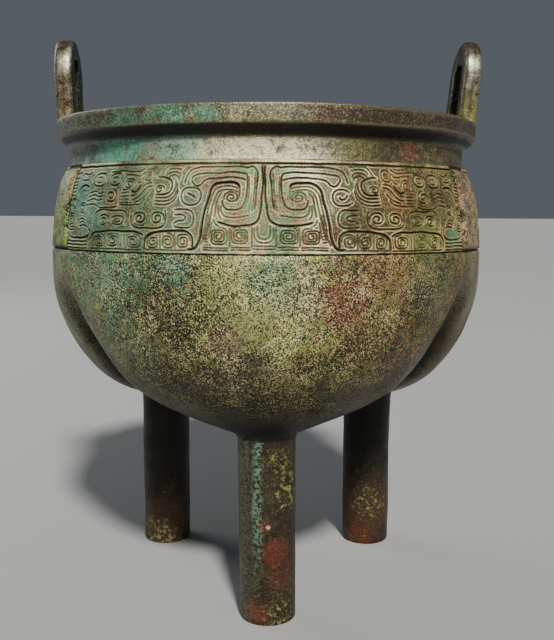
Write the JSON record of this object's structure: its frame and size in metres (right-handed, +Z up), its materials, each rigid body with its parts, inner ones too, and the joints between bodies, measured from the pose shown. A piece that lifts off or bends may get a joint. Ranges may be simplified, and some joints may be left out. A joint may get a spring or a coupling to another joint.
{
  "type": "three-lobed ding vessel",
  "caption": "Open cast bronze cauldron whose lobed bowl stands on round legs, with a broad flat lip, upright loop handles and a band of mask relief round the shoulder.",
  "frame": {"origin": "on the vessel's axis, in the plane its feet stand on", "axes": "+Z up, -Y out through the front lobe and leg, +X towards the right handle"},
  "size_m": [0.208, 0.2095, 0.2626],
  "materials": {
    "patinated_bronze": "aged cast bronze under a mottled green and brown patina, matt with smoother rubbed places"
  },
  "bodies": {
    "root": {"ding_vessel": "patinated_bronze"}
  },
  "joints": []
}
